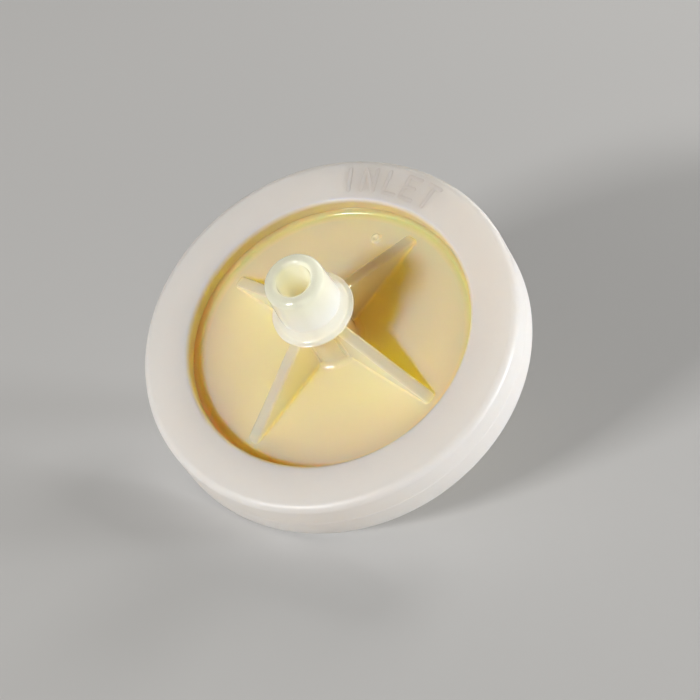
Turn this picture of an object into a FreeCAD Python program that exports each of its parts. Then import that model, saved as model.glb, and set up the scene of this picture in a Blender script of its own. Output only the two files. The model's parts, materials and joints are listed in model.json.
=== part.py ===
"""In-line disc filter with a stepped hose nipple on each side.

Two plate-shaped housings meet at their flanges and clamp a round filter membrane between
them.  A sealing ring is moulded over the joined flanges and grips both.  Each housing
carries a hollow nipple for tubing, braced by gussets that slope down to its plate.

Every piece is drawn on its own axis, Z, with the joint plane of the housings at height
zero.  The finished filter lies on the edge of its ring and the tip of its outlet nipple,
so each piece is placed at that rest tilt, with the floor at height zero.
All lengths are millimetres and all angles are degrees.
"""
import FreeCAD, Part
import math
import os
import Sketcher

SIZES = [
    # heights of the plate, flange and ring, each counted from the one before
    ("chamber_depth", 0.45, "from the joint of the housings up to the plate's inner face"),
    ("plate_wall", 0.9, "thickness of the plate"),
    ("flange_rise", 0.55, "from the plate's outer face up to the flange"),
    ("ring_lip", 1.95, "thickness of the ring over the flange"),
    # widths of the ring and flange, each counted inwards from the one before
    ("ring_diameter", 50.0, "outside of the sealing ring"),
    ("ring_face", 6.25, "width of the ring's face"),
    ("ring_wall", 2.97, "thickness of the ring round the flanges"),
    ("moulding_gap", 0.03, "clearance between the ring and the flanges' outside"),
    ("joint_land", 1.95, "width over which the flanges meet outside the membrane"),
    ("membrane_grip", 1.05, "width over which the flanges clamp the membrane"),
    ("plate_rim_slope", 0.5, "width of the slope where the plate rises to the flange"),
    ("ring_edge_bevel", 0.6, "bevel of the ring's two outer edges"),
    ("ring_mouth_bevel", 0.3, "bevel of the ring's two inner edges"),
    # the filter membrane
    ("membrane_thickness", 0.2, "thickness of the membrane"),
    ("membrane_gap", 0.05, "clearance round the membrane in its seat"),
    # heights of the stepped nipple, each counted from the one before
    ("collar_height", 8.2, "from the plate to the back of the collar"),
    ("collar_edge", 0.3, "thickness of the collar's rim"),
    ("collar_slope", 1.3, "height of the collar's slope"),
    ("neck_length", 0.25, "length of the neck"),
    ("barrel_length", 6.4, "length of the barrel, to the tip"),
    # widths of the stepped nipple
    ("bore_diameter", 4.5, "flow passage through the nipple"),
    ("stem_diameter", 6.8, "stem below the collar"),
    ("collar_diameter", 10.7, "barb for the wider tubing"),
    ("barrel_diameter", 8.3, "barb for the narrower tubing, at the barrel's base"),
    ("barb_step", 0.2, "how far the barrel's barb stands out from the neck"),
    ("barrel_taper", 0.3, "how much the barrel narrows on each side towards its tip"),
    ("tip_round", 0.55, "rounding of the tip's outer edge"),
    ("mouth_bevel", 0.35, "lead-in at the bore's mouth"),
    ("stem_foot_bevel", 0.6, "widening at the foot of the stem"),
    # the gussets round the stem
    ("gusset_count", 4, "gussets on each housing"),
    ("gusset_thickness", 1.6, "across a gusset"),
    ("gusset_drop", 0.85, "from the collar down to a gusset's top"),
    ("gusset_stop", 1.45, "from a gusset's toe to the plate's rim"),
    ("gusset_toe", 0.3, "height of a gusset's toe"),
    ("gusset_round", 0.25, "rounding along a gusset's sloping edges"),
    ("gusset_turn", -10.8, "turn of the gussets about the filter's axis"),
    # flow features inside the chamber
    ("vane_count", 8, "spreading vanes under the inlet plate"),
    ("vane_width", 0.8, "across a vane"),
    ("vane_drop", 0.3, "height of a vane"),
    ("vane_lead", 1.75, "from the bore's wall to a vane"),
    ("vane_stop", 2.0, "from a vane to the chamber's wall"),
    ("support_count", 12, "long support ribs under the membrane, and as many short ones"),
    ("support_width", 0.8, "across a support rib"),
    ("support_lead", 0.95, "from the bore's wall to a long support rib"),
    ("support_short_lead", 7.25, "from the bore's wall to a short support rib"),
    ("support_stop", 0.6, "from a support rib to the chamber's wall"),
    # how the filter lies
    ("rest_turn", -30.0, "turn of the lying filter about the vertical"),
]

# Heights over the joint of the housings, as expressions on the sheet.
CEILING = "sizes.chamber_depth"
PLATE = f"({CEILING} + sizes.plate_wall)"
FLANGE = f"({PLATE} + sizes.flange_rise)"
FACE = f"({FLANGE} + sizes.ring_lip)"
COLLAR = f"({PLATE} + sizes.collar_height)"
COLLAR_TOP = f"({COLLAR} + sizes.collar_edge)"
NECK = f"({COLLAR_TOP} + sizes.collar_slope)"
BARREL = f"({NECK} + sizes.neck_length)"
TIP = f"({BARREL} + sizes.barrel_length)"
GUSSET_TOP = f"({COLLAR} - sizes.gusset_drop)"
GUSSET_TOE = f"({PLATE} + sizes.gusset_toe)"
MID_PLATE = f"({CEILING} + sizes.plate_wall / 2)"

# Radii, as expressions on the sheet.
RING_EDGE = "sizes.ring_diameter / 2"
OPENING = f"({RING_EDGE} - sizes.ring_face)"
POCKET = f"({RING_EDGE} - sizes.ring_wall)"
FLANGE_EDGE = f"({POCKET} - sizes.moulding_gap)"
SEAT = f"({FLANGE_EDGE} - sizes.joint_land)"
MEMBRANE_EDGE = f"({SEAT} - sizes.membrane_gap)"
CHAMBER = f"({SEAT} - sizes.membrane_grip)"
PLATE_RIM = f"({OPENING} - sizes.plate_rim_slope)"
BORE = "sizes.bore_diameter / 2"
STEM = "sizes.stem_diameter / 2"
MID_STEM = f"({STEM} + {BORE}) / 2"
COLLAR_RIM = "sizes.collar_diameter / 2"
BARREL_BASE = "sizes.barrel_diameter / 2"
NECK_SIDE = f"({BARREL_BASE} - sizes.barb_step)"
BARREL_TIP = f"({BARREL_BASE} - sizes.barrel_taper)"
GUSSET_END = f"({PLATE_RIM} - sizes.gusset_stop)"

# The rest tilt.  The floor touches the outer corner of the ring's bevel and the rounding of the
# outlet nipple's tip, which is an arc about a centre in the filter's section.
FLANK = "(sizes.barrel_taper / sizes.barrel_length)"
TIP_CENTRE = f"({BARREL_TIP} + sizes.tip_round * ({FLANK} - sqrt(1 + {FLANK} ^ 2)))"
CORNER = f"({RING_EDGE} - sizes.ring_edge_bevel)"
RISE = f"({TIP} - sizes.tip_round - {FACE})"
RUN = f"({CORNER} - {TIP_CENTRE})"
TILT = f"(atan({RISE} / {RUN}) + asin(sizes.tip_round / sqrt({RISE} ^ 2 + {RUN} ^ 2)))"
CENTRE_HEIGHT = f"({CORNER} * sin({TILT}) + {FACE} * cos({TILT}))"

# Turns of the gussets about each housing's own axis.  The outlet housing is turned over, so
# the opposite turn lines its gussets up with those of the inlet housing.
INLET_TURN = "sizes.gusset_turn"
OUTLET_TURN = "(-sizes.gusset_turn)"

SKETCH_UP = FreeCAD.Vector(0, 1, 0)
NEAR = 1e-4


def make_sheet(doc):
    """The driving dimensions, one row each: note, value and alias."""
    sheet = doc.addObject("Spreadsheet::Sheet", "sizes")
    for row, (alias, value, note) in enumerate(SIZES, start=1):
        sheet.set(f"A{row}", note)
        sheet.set(f"B{row}", str(value))
        sheet.setAlias(f"B{row}", alias)
    doc.recompute()
    return sheet


def number(obj, expression):
    """The present value of an expression, as a plain number."""
    result = obj.evalExpression(expression)
    return float(getattr(result, "Value", result))


def midway(turn, count):
    """The turn halfway between two of the features that stand round the axis."""
    return f"{turn} + 180 / sizes.{count}"


def new_sketch(body, name, turn=None):
    """An empty sketch on the body's own upright plane, turned about the body's axis."""
    sketch = body.newObject("Sketcher::SketchObject", name)
    planes = {feature.Role: feature for feature in body.Origin.OriginFeatures}
    sketch.AttachmentSupport = (planes["XZ_Plane"], "")
    sketch.MapMode = "FlatFace"
    if turn:
        sketch.AttachmentOffset = FreeCAD.Placement(FreeCAD.Vector(), FreeCAD.Rotation(SKETCH_UP, 1))
        sketch.setExpression("AttachmentOffset.Rotation.Angle", turn)
    return sketch


def draw_outline(sketch, corners):
    """A closed outline of straight edges whose corners are bound to expressions."""
    points = [FreeCAD.Vector(number(sketch, x), number(sketch, y), 0) for x, y in corners]
    first = sketch.GeometryCount
    edges = [Part.LineSegment(points[i - 1], points[i]) for i in range(len(points))]
    sketch.addGeometry(edges, False)
    for i, (x, y) in enumerate(corners):
        edge = first + i
        following = first + (i + 1) % len(corners)
        sketch.addConstraint(Sketcher.Constraint("Coincident", edge, 2, following, 1))
        for kind, axis, expression, value in (
            ("DistanceX", -2, x, points[i].x),
            ("DistanceY", -1, y, points[i].y),
        ):
            if expression == "0":
                sketch.addConstraint(Sketcher.Constraint("PointOnObject", edge, 2, axis))
                continue
            added = sketch.addConstraint(Sketcher.Constraint(kind, -1, 1, edge, 2, value))
            sketch.setExpression(f"Constraints[{added}]", expression)


def revolve(body, sketch, name):
    """The sketch turned once round the body's own axis."""
    turned = body.newObject("PartDesign::Revolution", name)
    turned.Profile = sketch
    turned.ReferenceAxis = (sketch, ["V_Axis"])
    turned.Angle = 360
    sketch.Document.recompute()
    return turned


def round_circle(body, base, name, size, radius, height):
    """Round the circular edge that lies at the given radius and height."""
    target = (number(base, radius), number(base, height))
    names = []
    for index, edge in enumerate(base.Shape.Edges, start=1):
        if not isinstance(edge.Curve, Part.Circle):
            continue
        if math.dist((edge.Curve.Radius, edge.Curve.Center.z), target) < NEAR:
            names.append(f"Edge{index}")
    if len(names) != 1:
        raise RuntimeError(f"{name}: {len(names)} edges found, 1 wanted")
    fillet = body.newObject("PartDesign::Fillet", name)
    fillet.Base = (base, names)
    fillet.setExpression("Radius", f"sizes.{size}")
    body.Document.recompute()
    return fillet


def repeat(body, feature, name, count):
    """Repeat a feature evenly round the body's axis."""
    pattern = body.newObject("PartDesign::PolarPattern", name)
    pattern.Originals = [feature]
    pattern.Axis = (feature.Profile[0], ["V_Axis"])
    pattern.Angle = 360
    pattern.setExpression("Occurrences", count)
    body.Tip = pattern
    body.Document.recompute()
    return pattern


def must_change(before, after, grows, name):
    """Stop if a feature did not add, or did not cut, what it should."""
    change = after.Shape.Volume - before.Shape.Volume
    if (change > NEAR) != grows or abs(change) < NEAR:
        raise RuntimeError(f"{name} changed the volume by {change:.4f}")


def pad_blade(body, name, corners, width, turn):
    """An upright blade, drawn from the side and padded evenly to both sides of its plane."""
    sketch = new_sketch(body, f"{name}_outline", turn)
    draw_outline(sketch, corners)
    blade = body.newObject("PartDesign::Pad", name)
    blade.Profile = sketch
    blade.Midplane = True
    blade.setExpression("Length", width)
    body.Document.recompute()
    return blade


def housing_corners(inner_side):
    """Half section of a housing: flange, plate, stem, collar, barrel, bore, inner side."""
    return [
        (FLANGE_EDGE, "0"),
        (FLANGE_EDGE, FLANGE),
        (OPENING, FLANGE),
        (PLATE_RIM, PLATE),
        (f"({STEM} + sizes.stem_foot_bevel)", PLATE),
        (STEM, f"({PLATE} + sizes.stem_foot_bevel)"),
        (STEM, COLLAR),
        (COLLAR_RIM, COLLAR),
        (COLLAR_RIM, COLLAR_TOP),
        (NECK_SIDE, NECK),
        (NECK_SIDE, BARREL),
        (BARREL_BASE, BARREL),
        (BARREL_TIP, TIP),
        (f"({BORE} + sizes.mouth_bevel)", TIP),
        (BORE, f"({TIP} - sizes.mouth_bevel)"),
        (BORE, CEILING),
        (CHAMBER, CEILING),
    ] + inner_side


def make_housing(doc, name, inner_side, turn):
    """A housing with its rounded tip and gussets, before its inner flow features.

    The section is drawn midway between two gussets, so that its seam crosses none of them.
    """
    body = doc.addObject("PartDesign::Body", name)
    section = new_sketch(body, f"{name}_section", midway(turn, "gusset_count"))
    draw_outline(section, housing_corners(inner_side))
    shell = revolve(body, section, f"{name}_shell")
    rounded = round_circle(body, shell, f"{name}_tip_rounding", "tip_round", BARREL_TIP, TIP)
    gussets = add_gussets(body, f"{name}_gusset", turn)
    must_change(rounded, gussets, True, f"{name} gussets")
    return body


def add_gussets(body, name, turn):
    """Sloping gussets from the stem to their toes on the plate, with softened top edges."""
    slope = f"(({GUSSET_TOP} - {GUSSET_TOE}) / ({GUSSET_END} - {STEM}))"
    corners = [
        (MID_STEM, MID_PLATE),
        (GUSSET_END, MID_PLATE),
        (GUSSET_END, GUSSET_TOE),
        (MID_STEM, f"({GUSSET_TOE} + {slope} * ({GUSSET_END} - {MID_STEM}))"),
    ]
    blade = pad_blade(body, name, corners, "sizes.gusset_thickness", turn)
    pattern = repeat(body, blade, f"{name}s", "sizes.gusset_count")
    return soften_slopes(body, pattern, f"{name}_round")


def soften_slopes(body, base, name):
    """Round the two long sloping edges of every gusset."""
    count = round(number(base, "sizes.gusset_count"))
    least_rise = number(base, f"({GUSSET_TOP} - {GUSSET_TOE}) / 2")
    names = []
    for index, edge in enumerate(base.Shape.Edges, start=1):
        if not isinstance(edge.Curve, Part.Line):
            continue
        start, end = (vertex.Point for vertex in edge.Vertexes)
        sideways = math.hypot(end.x - start.x, end.y - start.y)
        if abs(end.z - start.z) > least_rise and sideways > least_rise:
            names.append(f"Edge{index}")
    if len(names) != 2 * count:
        raise RuntimeError(f"{name}: {len(names)} sloping edges found")
    fillet = body.newObject("PartDesign::Fillet", name)
    fillet.Base = (base, names)
    fillet.setExpression("Radius", "sizes.gusset_round")
    body.Document.recompute()
    return fillet


def make_inlet_housing(doc):
    """The housing with the vanes that spread the flow."""
    body = make_housing(doc, "inlet_housing", [(CHAMBER, "0")], INLET_TURN)
    start = f"({BORE} + sizes.vane_lead)"
    end = f"({CHAMBER} - sizes.vane_stop)"
    lower = f"({CEILING} - sizes.vane_drop)"
    corners = [(start, lower), (end, lower), (end, MID_PLATE), (start, MID_PLATE)]
    before = body.Tip
    vane = pad_blade(body, "inlet_vane", corners, "sizes.vane_width", INLET_TURN)
    vanes = repeat(body, vane, "inlet_vanes", "sizes.vane_count")
    must_change(before, vanes, True, "inlet vanes")
    return body


def make_outlet_housing(doc):
    """The housing with the membrane's seat and the ribs that support it."""
    body = make_housing(doc, "outlet_housing", [
        (CHAMBER, "sizes.membrane_thickness"),
        (SEAT, "sizes.membrane_thickness"),
        (SEAT, "0"),
    ], OUTLET_TURN)
    before = body.Tip
    between = midway(OUTLET_TURN, "support_count")
    add_supports(body, "long_support", "sizes.support_lead", OUTLET_TURN)
    supports = add_supports(body, "short_support", "sizes.support_short_lead", between)
    must_change(before, supports, True, "support ribs")
    return body


def add_supports(body, name, lead, turn):
    """Radial ribs that rise from the plate to the underside of the membrane."""
    start = f"({BORE} + {lead})"
    end = f"({CHAMBER} - sizes.support_stop)"
    top = "sizes.membrane_thickness"
    corners = [(start, top), (end, top), (end, MID_PLATE), (start, MID_PLATE)]
    rib = pad_blade(body, name, corners, "sizes.support_width", turn)
    return repeat(body, rib, f"{name}s", "sizes.support_count")


def make_membrane(doc):
    """The thin round membrane that lies in the outlet housing's seat."""
    body = doc.addObject("PartDesign::Body", "filter_membrane")
    section = new_sketch(body, "membrane_section")
    under = "(-sizes.membrane_thickness)"
    draw_outline(section, [("0", "0"), ("0", under), (MEMBRANE_EDGE, under), (MEMBRANE_EDGE, "0")])
    revolve(body, section, "membrane_disc")
    return body


def make_ring(doc):
    """The sealing ring: a bevelled band whose inner pocket grips both flanges."""
    body = doc.addObject("PartDesign::Body", "sealing_ring")
    section = new_sketch(body, "ring_section")
    mouth = f"({OPENING} + sizes.ring_mouth_bevel)"
    upper_half = [
        (RING_EDGE, f"({FACE} - sizes.ring_edge_bevel)"),
        (CORNER, FACE),
        (mouth, FACE),
        (OPENING, f"({FACE} - sizes.ring_mouth_bevel)"),
        (OPENING, FLANGE),
        (POCKET, FLANGE),
    ]
    lower_half = [(radius, f"(-{height})") for radius, height in reversed(upper_half)]
    draw_outline(section, upper_half + lower_half)
    revolve(body, section, "ring_band")
    return body


def lay_down(body, turned_over=False):
    """Place a piece at the rest tilt; the outlet side is also turned over."""
    angle = f"{TILT} + 180 deg" if turned_over else TILT
    centre = f"vector(0; 0; {CENTRE_HEIGHT})"
    pose = f"rotation(sizes.rest_turn; 0; {angle})"
    body.setExpression("Placement", f"placement({centre}; {pose})")


def check(doc, bodies):
    """Stop unless every object is sound and every piece is one valid solid."""
    for obj in doc.Objects:
        if "Invalid" in obj.State or "Error" in obj.State:
            raise RuntimeError(f"{obj.Name} failed: {obj.State}")
    for body in bodies:
        shape = body.Shape
        if shape.isNull() or not shape.isValid() or len(shape.Solids) != 1:
            raise RuntimeError(f"{body.Name} is not one valid solid")


def main():
    doc = FreeCAD.newDocument("disc_filter")
    make_sheet(doc)
    inlet = make_inlet_housing(doc)
    outlet = make_outlet_housing(doc)
    membrane = make_membrane(doc)
    ring = make_ring(doc)
    bodies = [inlet, outlet, membrane, ring]
    for body in bodies:
        body.Label = body.Name
        lay_down(body, turned_over=body is outlet)
    doc.recompute()
    check(doc, bodies)
    os.makedirs("parts", exist_ok=True)
    for body in bodies:
        body.Shape.exportStep(f"parts/{body.Label}.step")
        print(body.Label, "volume", round(body.Shape.Volume, 3))


main()
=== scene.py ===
"""Looks of an in-line disc filter with a stepped hose nipple on each side.

The ring and both housings are built anew in the form of their solids, with the roundings
that moulding leaves.  Each mesh is drawn in the filter's own frame: Z is the filter's axis,
pointing away from the joint of the housings, and X is the diameter that lies level.
All lengths are metres and all angles are degrees.
"""
import json
import math

import bmesh
import bpy
from mathutils import Matrix, Vector


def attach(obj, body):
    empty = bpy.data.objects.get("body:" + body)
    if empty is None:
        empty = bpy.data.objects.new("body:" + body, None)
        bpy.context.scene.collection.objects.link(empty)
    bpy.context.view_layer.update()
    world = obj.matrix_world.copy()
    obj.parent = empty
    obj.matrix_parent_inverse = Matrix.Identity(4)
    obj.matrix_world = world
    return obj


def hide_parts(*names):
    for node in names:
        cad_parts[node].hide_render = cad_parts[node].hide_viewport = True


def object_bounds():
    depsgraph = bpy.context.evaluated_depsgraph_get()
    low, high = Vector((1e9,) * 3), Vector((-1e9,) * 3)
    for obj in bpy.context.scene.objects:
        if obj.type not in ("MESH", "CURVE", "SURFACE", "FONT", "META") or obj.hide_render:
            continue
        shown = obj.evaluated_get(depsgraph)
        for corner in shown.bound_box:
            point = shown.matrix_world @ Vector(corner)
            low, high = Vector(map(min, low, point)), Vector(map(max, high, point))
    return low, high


MM = 0.001

# Heights over the joint of the housings.
CEILING = 0.45 * MM
MEMBRANE_TOP = 0.2 * MM
PLATE = 1.35 * MM
FLANGE = 1.9 * MM
FACE = 3.85 * MM
GUSSET_TOE = 1.65 * MM
GUSSET_TOP = 8.7 * MM
COLLAR = 9.55 * MM
COLLAR_TOP = 9.85 * MM
COLLAR_DIP = 10.05 * MM
NECK = 11.15 * MM
BARREL = 11.4 * MM
TIP = 17.8 * MM

# Radii.
RING_EDGE = 25.0 * MM
POCKET = 22.03 * MM
FLANGE_EDGE = 22.0 * MM
SEAT = 20.05 * MM
CHAMBER = 19.0 * MM
OPENING = 18.75 * MM
PLATE_RIM = 18.25 * MM
GUSSET_END = 16.8 * MM
COLLAR_RIM = 5.35 * MM
COLLAR_WAIST = 4.7 * MM
BARREL_BASE = 4.15 * MM
NECK_SIDE = 3.95 * MM
BARREL_TIP = 3.85 * MM
STEM = 3.4 * MM
BORE = 2.25 * MM

# The round mark that the mould's gate leaves on the plate.
GATE_REACH = 14.94 * MM
GATE_ANGLE = 96.1
GATE_RADIUS = 0.75 * MM
GATE_RISE = 0.22 * MM

# The gussets and their roundings.
GUSSET_HALF = 0.8 * MM
GUSSET_COUNT = 4
GUSSET_TURN = -10.8
FOOT_FILLET = 0.3 * MM
CREST_ROUND = 0.4 * MM
STEM_FILLET = 0.35 * MM
TOE_ROUND = 0.55 * MM
ROOT_DEPTH = 0.4 * MM

# How far a form that is merged into a plate starts under the plate's face.
SUNK = 0.01 * MM
PARTING_LINE = 0.05 * MM

# Fineness of the round pieces, and the angle over which an edge stays sharp.
HOUSING_SEGMENTS = 192
RING_SEGMENTS = 288
GATE_SEGMENTS = 24
SHARP = 38


def rounded(corners, steps=8):
    """Points of a closed outline; each corner is (radius, height, rounding)."""
    points = []
    for i, (x, y, size) in enumerate(corners):
        corner = Vector((x, y))
        back = (Vector(corners[i - 1][:2]) - corner).normalized()
        ahead = (Vector(corners[(i + 1) % len(corners)][:2]) - corner).normalized()
        if not size:
            points.append(corner)
            continue
        half = back.angle(ahead) / 2
        centre = corner + (back + ahead).normalized() * size / math.sin(half)
        start = (corner + back * size / math.tan(half) - centre).normalized()
        end = (corner + ahead * size / math.tan(half) - centre).normalized()
        points += [centre + start.slerp(end, k / steps) * size for k in range(steps + 1)]
    return points


def finished(name, builder, sharp=SHARP):
    """The mesh of a bmesh builder as an object, smooth but for edges over the sharp angle."""
    bmesh.ops.recalc_face_normals(builder, faces=builder.faces)
    mesh = bpy.data.meshes.new(name)
    builder.to_mesh(mesh)
    builder.free()
    mesh.shade_smooth()
    mesh.set_sharp_from_angle(angle=math.radians(sharp))
    piece = bpy.data.objects.new(name, mesh)
    bpy.context.scene.collection.objects.link(piece)
    return piece


def lathe(builder, outline, segments):
    """Add a closed solid of revolution about Z."""
    rings = []
    for k in range(segments):
        angle = 2 * math.pi * k / segments
        across, along = math.cos(angle), math.sin(angle)
        rings.append([builder.verts.new((p.x * across, p.x * along, p.y)) for p in outline])
    for k, ring in enumerate(rings):
        following = rings[(k + 1) % segments]
        for i in range(len(outline)):
            j = (i + 1) % len(outline)
            builder.faces.new((ring[i], following[i], following[j], ring[j]))


def loft(builder, sections, turn):
    """Add a solid through closed sections of equal length, turned about Z, with flat ends."""
    spin = Matrix.Rotation(math.radians(turn), 3, "Z")
    loops = [[builder.verts.new(spin @ Vector(p)) for p in section] for section in sections]
    for first, second in zip(loops, loops[1:]):
        for i in range(len(first)):
            j = (i + 1) % len(first)
            builder.faces.new((first[i], first[j], second[j], second[i]))
    builder.faces.new(loops[0])
    builder.faces.new(loops[-1])


def arc(centre, radius, start, end, steps=6):
    """Points (across, height) on an arc between two angles."""
    turns = [math.radians(start + (end - start) * k / steps) for k in range(steps + 1)]
    return [(centre[0] + radius * math.cos(t), centre[1] + radius * math.sin(t)) for t in turns]


def gusset_section(reach, half, top):
    """One section across a gusset: foot fillets on the plate and a rounded crest."""
    height = top - PLATE
    foot = min(FOOT_FILLET, 0.4 * height)
    crest = min(CREST_ROUND, 0.5 * height, 0.9 * half)
    right = [(half + foot, PLATE - ROOT_DEPTH), (half + foot, PLATE - SUNK)]
    right += arc((half + foot, PLATE + foot), foot, 270, 180)
    right += arc((half - crest, top - crest), crest, 0, 90)
    left = [(-across, height) for across, height in reversed(right)]
    return [(reach, across, height) for across, height in right + left]


def gusset_sections():
    """Sections from inside the stem's wall out to the rounded toe."""
    near_end = STEM + STEM_FILLET
    far_end = GUSSET_END - TOE_ROUND
    slope = (GUSSET_TOP - GUSSET_TOE) / (GUSSET_END - STEM)
    steps = 8
    stations = [(STEM + BORE) / 2]
    stations += [STEM + STEM_FILLET * k / steps for k in range(steps + 1)]
    stations += [near_end + (far_end - near_end) * k / 4 for k in range(1, 4)]
    stations += [
        GUSSET_END - TOE_ROUND * (1 - math.sin(math.pi / 2 * k / steps)) for k in range(steps)
    ]
    sections = []
    for reach in stations:
        half = GUSSET_HALF
        top = GUSSET_TOE + slope * (GUSSET_END - reach)
        near = min(STEM_FILLET, near_end - reach)
        if near > 0:
            half += STEM_FILLET - math.sqrt(STEM_FILLET ** 2 - near ** 2)
        beyond = reach - far_end
        if beyond > 0:
            shrink = TOE_ROUND - math.sqrt(TOE_ROUND ** 2 - beyond ** 2)
            half -= shrink
            top -= 0.5 * shrink
        sections.append(gusset_section(reach, half, top))
    return sections


def make_housing(name, inner_side, turn):
    """A housing: flange, plate, stepped nipple with its bore, and gussets."""
    outline = rounded([
        (FLANGE_EDGE, 0, 0),
        (FLANGE_EDGE, FLANGE, 0),
        (OPENING, FLANGE, 0.1 * MM),
        (PLATE_RIM, PLATE, 0.5 * MM),
        (STEM, PLATE, 1.1 * MM),
        (STEM, COLLAR, 0.3 * MM),
        (COLLAR_RIM, COLLAR, 0.12 * MM),
        (COLLAR_RIM, COLLAR_TOP, 0.14 * MM),
        (COLLAR_WAIST, COLLAR_DIP, 0.55 * MM),
        (NECK_SIDE, NECK, 0.1 * MM),
        (NECK_SIDE, BARREL, 0.06 * MM),
        (BARREL_BASE, BARREL, 0.08 * MM),
        (BARREL_TIP, TIP, 0.9 * MM),
        (BORE, TIP, 0.5 * MM),
        (BORE, CEILING, 0),
        (CHAMBER, CEILING, 0),
    ] + inner_side)
    shell = bmesh.new()
    lathe(shell, outline, HOUSING_SEGMENTS)
    housing = finished(name, shell)
    blades = bmesh.new()
    for k in range(GUSSET_COUNT):
        loft(blades, gusset_sections(), turn + k * 360 / GUSSET_COUNT)
    gussets = finished(f"{name}_gussets", blades)
    for addition in (make_gate(), gussets):
        unite(housing, addition)
    housing.data.shade_smooth()
    housing.data.set_sharp_from_angle(angle=math.radians(SHARP))
    housing.modifiers.new("normals", "WEIGHTED_NORMAL").keep_sharp = True
    return housing


def make_gate():
    """The low round mark, hollow in its middle, where the mould was filled."""
    steps = 16
    outline = [Vector((0, PLATE - GATE_RISE)), Vector((GATE_RADIUS, PLATE - GATE_RISE))]
    for k in range(steps + 1):
        share = k / steps
        rise = GATE_RISE * math.sin(math.pi * share ** 0.7) ** 2
        outline.append(Vector((GATE_RADIUS * (1 - share), PLATE - SUNK + rise)))
    builder = bmesh.new()
    lathe(builder, outline, GATE_SEGMENTS)
    bmesh.ops.remove_doubles(builder, verts=builder.verts, dist=0.001 * MM)
    gate = finished("gate", builder)
    turn = math.radians(GATE_ANGLE)
    shift = Vector((math.cos(turn), math.sin(turn), 0)) * GATE_REACH
    gate.data.transform(Matrix.Translation(shift))
    return gate


def unite(piece, addition):
    """Merge the addition into the piece's closed skin."""
    union = piece.modifiers.new("union", "BOOLEAN")
    union.operation = "UNION"
    union.solver = "EXACT"
    union.object = addition
    graph = bpy.context.evaluated_depsgraph_get()
    mesh = bpy.data.meshes.new_from_object(piece.evaluated_get(graph))
    piece.modifiers.clear()
    piece.data = mesh
    bpy.data.objects.remove(addition)


def make_ring():
    """The sealing ring, with a faint parting line round its outer wall."""
    upper = [
        (RING_EDGE, PARTING_LINE, 0),
        (RING_EDGE, FACE, 1.0 * MM),
        (OPENING, FACE, 0.6 * MM),
        (OPENING, FLANGE, 0),
        (POCKET, FLANGE, 0),
    ]
    lower = [(radius, -height, size) for radius, height, size in reversed(upper)]
    builder = bmesh.new()
    groove = [(RING_EDGE - PARTING_LINE, 0, 0)]
    lathe(builder, rounded(upper + lower + groove), RING_SEGMENTS)
    ring = finished("ring_skin", builder)
    ring.modifiers.new("normals", "WEIGHTED_NORMAL").keep_sharp = True
    return ring


LETTER_HEIGHT = 3.1 * MM
LETTER_BASE = 20.35 * MM
STROKE = 0.29 * MM
# A stroke's sections: the height over the ring's face and the share of the full width.
RELIEF = [(-0.05 * MM, 1.0), (0.005 * MM, 1.0), (0.018 * MM, 0.8), (0.025 * MM, 0.55)]
# Each letter: its angle on the ring, its width and its strokes in shares of width and height.
WORD = [
    (110.9, 0.0, [((0, 0), (0, 1))]),
    (103.7, 1.65, [((0, 0), (0, 1)), ((0, 1), (1, 0)), ((1, 0), (1, 1))]),
    (95.2, 1.6, [((0, 1), (0, 0)), ((0, 0), (1, 0))]),
    (88.0, 1.7, [((0, 1), (0, 0)), ((0, 0), (1, 0)), ((0, 0.52), (0.8, 0.52)), ((0, 1), (1, 1))]),
    (80.5, 1.8, [((0, 1), (1, 1)), ((0.5, 1), (0.5, 0))]),
]


def stroke_outline(start, end, half, height):
    """A bar with round ends between two points of the ring's face."""
    along = (end - start).normalized()
    across = Vector((-along.y, along.x))
    points = []
    steps = 8
    for middle, facing in ((end, 1), (start, -1)):
        for k in range(steps + 1):
            angle = math.pi * (k / steps - 0.5)
            edge = (along * math.cos(angle) + across * math.sin(angle)) * facing
            points.append((*(middle + edge * half), height))
    return points


def make_word():
    """The raised word that marks the inlet side of the ring."""
    builder = bmesh.new()
    for angle, width, strokes in WORD:
        outward = Vector((math.cos(math.radians(angle)), math.sin(math.radians(angle))))
        reading = Vector((outward.y, -outward.x))
        for ends in strokes:
            start, end = (
                outward * (LETTER_BASE + LETTER_HEIGHT * v) + reading * width * MM * (u - 0.5)
                for u, v in ends
            )
            sections = [
                stroke_outline(start, end, share * STROKE, FACE + rise) for rise, share in RELIEF
            ]
            loft(builder, sections, 0)
    return finished("inlet_word", builder, sharp=60)


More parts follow.
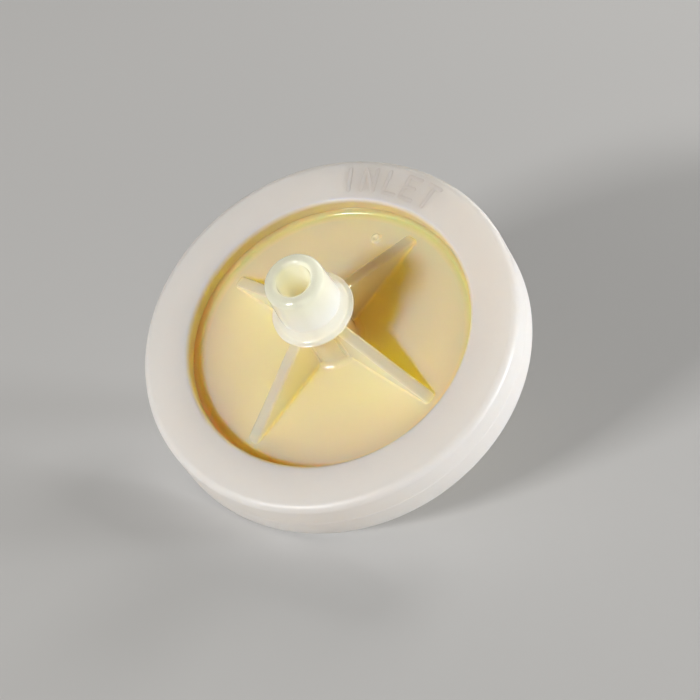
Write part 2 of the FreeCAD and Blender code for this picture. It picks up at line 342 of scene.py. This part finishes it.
class Nodes:
    """A material's node tree, with short ways to add and join nodes."""

    def __init__(self, name):
        self.material = bpy.data.materials.new(name)
        self.material.use_nodes = True
        self.tree = self.material.node_tree
        self.tree.nodes.clear()
        self.shader = self.add("ShaderNodeBsdfPrincipled")
        output = self.add("ShaderNodeOutputMaterial")
        self.join(self.shader, "BSDF", output, "Surface")
        self.place = self.add("ShaderNodeTexCoord")

    def add(self, kind, **settings):
        node = self.tree.nodes.new(kind)
        for key, value in settings.items():
            if key in node.inputs:
                node.inputs[key].default_value = value
            else:
                setattr(node, key, value)
        return node

    def join(self, source, output, target, entry):
        self.tree.links.new(source.outputs[output], target.inputs[entry])

    def set(self, **values):
        for key, value in values.items():
            self.shader.inputs[key.replace("_", " ")].default_value = value

    def noise(self, scale, detail):
        """Noise over the piece, with its scale counted per metre."""
        noise = self.add("ShaderNodeTexNoise", Scale=scale, Detail=detail)
        self.join(self.place, "Object", noise, "Vector")
        return noise

    def combined(self, operation, source, output, vector):
        """A vector operation on a node's output and a fixed vector."""
        result = self.add("ShaderNodeVectorMath", operation=operation)
        result.inputs[1].default_value = vector
        self.join(source, output, result, 0)
        return result

    def distance_along(self, axis):
        """Distance of a point from the filter's middle, along an axis."""
        offset = self.combined("SUBTRACT", self.place, "Object", centre)
        return self.combined("DOT_PRODUCT", offset, "Vector", axis)

    def distance_from(self, axis):
        """Distance of a point from an axis through the filter's middle."""
        offset = self.combined("SUBTRACT", self.place, "Object", centre)
        across = self.combined("CROSS_PRODUCT", offset, "Vector", axis)
        length = self.add("ShaderNodeVectorMath", operation="LENGTH")
        self.join(across, "Vector", length, 0)
        return length

    def share(self, source, output, low, high):
        """A value mapped from a range to 0 to 1."""
        span = self.add("ShaderNodeMapRange")
        span.inputs["From Min"].default_value = low
        span.inputs["From Max"].default_value = high
        self.join(source, output, span, "Value")
        return span

    def times(self, first, second):
        """The product of the first outputs of two nodes, part by part."""
        product = self.add("ShaderNodeVectorMath", operation="MULTIPLY")
        self.join(first, 0, product, 0)
        self.join(second, 0, product, 1)
        return product

    def ramp(self, source, output, stops):
        """Colours or greys by a value between 0 and 1."""
        ramp = self.add("ShaderNodeValToRGB")
        while len(ramp.color_ramp.elements) < len(stops):
            ramp.color_ramp.elements.new(0.5)
        for element, (position, colour) in zip(ramp.color_ramp.elements, stops):
            element.position = position
            element.color = (*colour, 1)
        self.join(source, output, ramp, "Fac")
        return ramp

    def bump(self, source, output, distance, strength):
        bump = self.add("ShaderNodeBump", Distance=distance, Strength=strength)
        self.join(source, output, bump, "Height")
        self.join(bump, "Normal", self.shader, "Normal")


def ring_material(name, tint, scatter):
    """Warm white satin plastic with a fine moulded grain, and a painted golden glow on the
    opening's wall for light bounced from the yellow plate into its shadow.
    """
    nodes = Nodes(name)
    cloud = nodes.noise(140, 3)
    colour = nodes.ramp(cloud, "Fac", [
        (0.3, tuple(c * 0.985 for c in tint)),
        (0.7, tint),
    ])
    edge = nodes.share(nodes.distance_from(inlet_axis), "Value", OPENING, RING_EDGE)
    # painted glow: the opening's wall is coloured gold, standing in for light bounced from the
    # yellow plate into the shadow there
    painted_bounce_glow = nodes.ramp(edge, "Result", [
        (0.0, (0.98, 0.78, 0.42)),
        (0.02, (0.99, 0.86, 0.62)),
        (0.07, (1.0, 1.0, 1.0)),
    ])
    nodes.join(nodes.times(colour, painted_bounce_glow), "Vector", nodes.shader, "Base Color")
    nodes.shader.subsurface_method = "BURLEY"
    nodes.set(Roughness=0.42, Subsurface_Weight=0.9, Subsurface_Scale=scatter)
    reach = nodes.ramp(edge, "Result", [
        (0.0, (3.2, 1.6, 0.1)),
        (0.05, (2.4, 1.4, 0.3)),
        (0.16, (1.0, 0.8, 0.6)),
    ])
    nodes.join(reach, "Color", nodes.shader, "Subsurface Radius")
    grain = nodes.noise(5200, 2)
    nodes.bump(grain, "Fac", distance=0.01 * MM, strength=0.35)
    return nodes.material


def housing_material(name, axis):
    """Translucent plastic: yellow where it is a broad plate, creamy in the raised parts, with
    painted shading towards the stem and painted golden light at the rim.

    How far light spreads under the skin changes with the height over the plate and the
    distance from the axis, as the depth of plastic under it does.
    """
    nodes = Nodes(name)
    height = nodes.share(nodes.distance_along(axis), "Value", PLATE, TIP)
    outward = nodes.share(nodes.distance_from(axis), "Value", STEM, PLATE_RIM)
    colour = nodes.ramp(height, "Result", [
        (0.005, (0.82, 0.72, 0.43)),
        (0.05, (0.64, 0.605, 0.465)),
        (0.4, (0.71, 0.68, 0.56)),
        (0.49, (0.79, 0.765, 0.665)),
        (0.65, (0.90, 0.885, 0.84)),
        (1.0, (0.985, 0.935, 0.73)),
    ])
    # painted light and shading: darker towards the stem, a little lighter further out, and golden
    # red at the rim, partly the rim's own tint and partly painted glow in the shadow of the
    # ring's wall
    painted_shading_and_glow = nodes.ramp(outward, "Result", [
        (0.02, (0.79, 0.84, 0.88)),
        (0.5, (0.96, 0.97, 0.99)),
        (0.75, (1.08, 1.01, 1.0)),
        (0.93, (1.15, 0.98, 0.94)),
        (0.99, (1.38, 1.0, 0.6)),
    ])
    nodes.join(nodes.times(colour, painted_shading_and_glow), "Vector", nodes.shader, "Base Color")
    reach = nodes.ramp(height, "Result", [
        (0.005, (2.1, 1.25, 0.1)),
        (0.05, (2.2, 1.1, 0.4)),
        (0.4, (2.2, 1.3, 0.4)),
        (0.65, (0.95, 0.85, 0.6)),
        (1.0, (1.3, 1.25, 0.95)),
    ])
    lessening = nodes.ramp(outward, "Result", [
        (0.02, (0.75, 0.75, 1.0)),
        (0.3, (1.0, 1.0, 1.0)),
        (0.75, (0.9, 0.9, 1.0)),
        (1.0, (1.1, 0.48, 1.0)),
    ])
    within = nodes.share(nodes.distance_from(axis), "Value", BORE, BORE + 0.4 * MM)
    hollow = nodes.ramp(within, "Result", [
        (0.1, (1.37, 1.27, 0.79)),
        (1.0, (1.0, 1.0, 1.0)),
    ])
    spread = nodes.times(nodes.times(reach, lessening), hollow)
    nodes.join(spread, "Vector", nodes.shader, "Subsurface Radius")
    nodes.shader.subsurface_method = "BURLEY"
    nodes.set(Subsurface_Weight=1.0, Subsurface_Scale=0.011, IOR=1.49)
    polish = nodes.ramp(height, "Result", [
        (0.0, (0.42, 0.42, 0.42)),
        (0.002, (0.1, 0.1, 0.1)),
    ])
    nodes.join(polish, "Color", nodes.shader, "Roughness")
    wave = nodes.noise(260, 2)
    nodes.bump(wave, "Fac", distance=0.02 * MM, strength=0.25)
    return nodes.material


def membrane_material():
    """White porous sheet."""
    nodes = Nodes("membrane_sheet")
    fibres = nodes.noise(9000, 4)
    colour = nodes.ramp(fibres, "Fac", [
        (0.35, (0.74, 0.73, 0.68)),
        (0.65, (0.86, 0.85, 0.80)),
    ])
    nodes.join(colour, "Color", nodes.shader, "Base Color")
    nodes.set(Roughness=0.85)
    nodes.bump(fibres, "Fac", distance=0.02 * MM, strength=0.5)
    return nodes.material


# How brightly the floor shines to the camera and in mirrored views; it lights nothing.
FLOOR_LIFT = 0.15
# The world's light on the object: its colour and strength.
GLOW_COLOUR = (1.0, 0.82, 0.45, 1)
GLOW = 0.06
# The backdrop's colour, and its strength up to a low angle over the level and from a high one.
BACKDROP_COLOUR = (1.0, 1.0, 0.99, 1)
BACKDROP_LOW = (10, 0.42)
BACKDROP_HIGH = (50, 0.04)


def seen_by_camera(tree):
    """A value of 1 for rays of the camera, straight, mirrored or through glass, and else 0."""
    path = tree.nodes.new("ShaderNodeLightPath")
    seen = path.outputs["Is Camera Ray"]
    for ray in ("Is Glossy Ray", "Is Transmission Ray"):
        either = tree.nodes.new("ShaderNodeMath")
        either.operation = "MAXIMUM"
        tree.links.new(seen, either.inputs[0])
        tree.links.new(path.outputs[ray], either.inputs[1])
        seen = either.outputs["Value"]
    return seen


def floor_material():
    """Pale grey floor."""
    nodes = Nodes("floor_paint")
    cloud = nodes.noise(6, 2)
    colour = nodes.ramp(cloud, "Fac", [
        (0.3, (0.455, 0.455, 0.455)),
        (0.7, (0.48, 0.48, 0.477)),
    ])
    nodes.join(colour, "Color", nodes.shader, "Base Color")
    nodes.set(Roughness=1.0, Specular_IOR_Level=0.0, Emission_Color=(1, 1, 1, 1))
    lift = nodes.add("ShaderNodeMath", operation="MULTIPLY")
    lift.inputs[1].default_value = FLOOR_LIFT
    nodes.tree.links.new(seen_by_camera(nodes.tree), lift.inputs[0])
    nodes.join(lift, "Value", nodes.shader, "Emission Strength")
    return nodes.material


def studio_world():
    """A backdrop, pale at the level and dark overhead, and a faint warm light on the object."""
    world = bpy.data.worlds.new("studio")
    world.use_nodes = True
    tree = world.node_tree
    tree.nodes.clear()
    glow = tree.nodes.new("ShaderNodeBackground")
    glow.inputs["Color"].default_value = GLOW_COLOUR
    glow.inputs["Strength"].default_value = GLOW
    backdrop = tree.nodes.new("ShaderNodeBackground")
    backdrop.inputs["Color"].default_value = BACKDROP_COLOUR
    place = tree.nodes.new("ShaderNodeTexCoord")
    part = tree.nodes.new("ShaderNodeSeparateXYZ")
    fade = tree.nodes.new("ShaderNodeMapRange")
    fade.interpolation_type = "SMOOTHSTEP"
    for end, (elevation, strength) in (("Min", BACKDROP_LOW), ("Max", BACKDROP_HIGH)):
        fade.inputs[f"From {end}"].default_value = math.sin(math.radians(elevation))
        fade.inputs[f"To {end}"].default_value = strength
    tree.links.new(place.outputs["Generated"], part.inputs["Vector"])
    tree.links.new(part.outputs["Z"], fade.inputs["Value"])
    tree.links.new(fade.outputs["Result"], backdrop.inputs["Strength"])
    choice = tree.nodes.new("ShaderNodeMixShader")
    output = tree.nodes.new("ShaderNodeOutputWorld")
    tree.links.new(seen_by_camera(tree), choice.inputs["Fac"])
    tree.links.new(glow.outputs["Background"], choice.inputs[1])
    tree.links.new(backdrop.outputs["Background"], choice.inputs[2])
    tree.links.new(choice.outputs["Shader"], output.inputs["Surface"])
    return world


def dress(piece, material):
    """Give a piece its material and its body."""
    piece.data.materials.clear()
    piece.data.materials.append(material)
    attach(piece, "root")


def direction(azimuth, elevation):
    """Unit vector from the object; azimuth 0 is the front and 90 is the right side."""
    a, e = math.radians(azimuth), math.radians(elevation)
    return Vector((math.sin(a) * math.cos(e), -math.cos(a) * math.cos(e), math.sin(e)))


def add_lamp(name, azimuth, elevation, distance, size, power, colour):
    """A rectangular lamp that faces the filter; its size is (width, height)."""
    data = bpy.data.lights.new(name, "AREA")
    data.shape = "RECTANGLE"
    data.size, data.size_y = size
    data.energy = power
    data.color = colour
    lamp = bpy.data.objects.new(name, data)
    bpy.context.scene.collection.objects.link(lamp)
    towards = direction(azimuth, elevation)
    lamp.location = centre + towards * distance
    lamp.rotation_euler = (-towards).to_track_quat("-Z", "Y").to_euler()


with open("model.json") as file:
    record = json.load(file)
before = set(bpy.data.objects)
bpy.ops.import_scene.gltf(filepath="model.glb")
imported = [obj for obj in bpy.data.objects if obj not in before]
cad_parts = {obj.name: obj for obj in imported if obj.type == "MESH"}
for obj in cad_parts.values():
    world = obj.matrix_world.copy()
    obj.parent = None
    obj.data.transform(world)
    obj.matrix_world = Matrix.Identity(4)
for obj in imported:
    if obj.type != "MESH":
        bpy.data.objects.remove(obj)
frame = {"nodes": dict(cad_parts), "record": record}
cad_low, cad_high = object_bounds()

mounts = {mount["name"]: mount for mount in frame["record"]["mounts"]}
inlet_axis = Vector(mounts["inlet_bore"]["axis"])
centre = (Vector(mounts["inlet_bore"]["pos_m"]) + Vector(mounts["outlet_bore"]["pos_m"])) / 2
level = Vector((0, 0, 1)).cross(inlet_axis).normalized()


def placed(piece, axis):
    """Move a piece's mesh from the filter's own frame to its place."""
    turned = Matrix((level, axis.cross(level), axis)).transposed()
    piece.data.transform(Matrix.Translation(centre) @ turned.to_4x4())
    return piece


inlet = placed(make_housing("inlet_skin", [(CHAMBER, 0, 0)], GUSSET_TURN), inlet_axis)
dress(inlet, housing_material("inlet_plastic", inlet_axis))
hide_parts("inlet_housing")

outlet_side = [(CHAMBER, MEMBRANE_TOP, 0), (SEAT, MEMBRANE_TOP, 0), (SEAT, 0, 0)]
outlet = placed(make_housing("outlet_skin", outlet_side, -GUSSET_TURN), -inlet_axis)
dress(outlet, housing_material("outlet_plastic", -inlet_axis))
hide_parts("outlet_housing")

ring = placed(make_ring(), inlet_axis)
dress(ring, ring_material("ring_plastic", tint=(0.80, 0.775, 0.75), scatter=0.009))
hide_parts("sealing_ring")

word = placed(make_word(), inlet_axis)
dress(word, ring_material("word_plastic", tint=(0.745, 0.705, 0.67), scatter=0.0004))

membrane = frame["nodes"]["filter_membrane"]
membrane.data.materials.clear()
membrane.data.materials.append(membrane_material())

# the floor, a little under the object, so that the two don't share a face
FLOOR_HALF = 1.5
FLOOR_GAP = 0.02 * MM
builder = bmesh.new()
bmesh.ops.create_grid(builder, x_segments=8, y_segments=8, size=FLOOR_HALF)
floor = finished("floor", builder)
floor.location.z = cad_low.z - FLOOR_GAP
floor.data.materials.append(floor_material())

# the light: each lamp's name, azimuth, elevation, distance, size, power and colour
LAMPS = [
    ("key", -39, 22.5, 1.2, (0.28, 0.09), 12.4, (1.0, 0.98, 0.96)),
    ("rim", 88.3, 3.3, 0.4, (0.08, 0.08), 1.5, (0.96, 0.98, 1.0)),
    ("back", 150, 34, 0.4, (0.12, 0.12), 0.45, (1.0, 0.98, 0.96)),
]
scene = bpy.context.scene
scene.world = studio_world()
for lamp in LAMPS:
    add_lamp(*lamp)

# the camera, aimed a little off the middle of the ring's face
CAMERA_AZIMUTH = 3.3
CAMERA_ELEVATION = 32.92
CAMERA_DISTANCE = 0.41
AIM_RIGHT = 2.855 * MM
AIM_DOWN = 2.471 * MM
FOCAL_LENGTH = 166.5
SENSOR_WIDTH = 36
towards_camera = direction(CAMERA_AZIMUTH, CAMERA_ELEVATION)
rightward = Vector((0, 0, 1)).cross(towards_camera).normalized()
upward = towards_camera.cross(rightward)
face_middle = centre + inlet_axis * FACE
aim = face_middle + rightward * AIM_RIGHT - upward * AIM_DOWN
lens = bpy.data.cameras.new("camera")
lens.lens = FOCAL_LENGTH
lens.sensor_width = SENSOR_WIDTH
lens.clip_start = 0.01
camera = bpy.data.objects.new("camera", lens)
camera.location = aim + towards_camera * CAMERA_DISTANCE
camera.rotation_euler = (-towards_camera).to_track_quat("-Z", "Y").to_euler()
scene.collection.objects.link(camera)
scene.camera = camera

scene.view_settings.view_transform = "Standard"
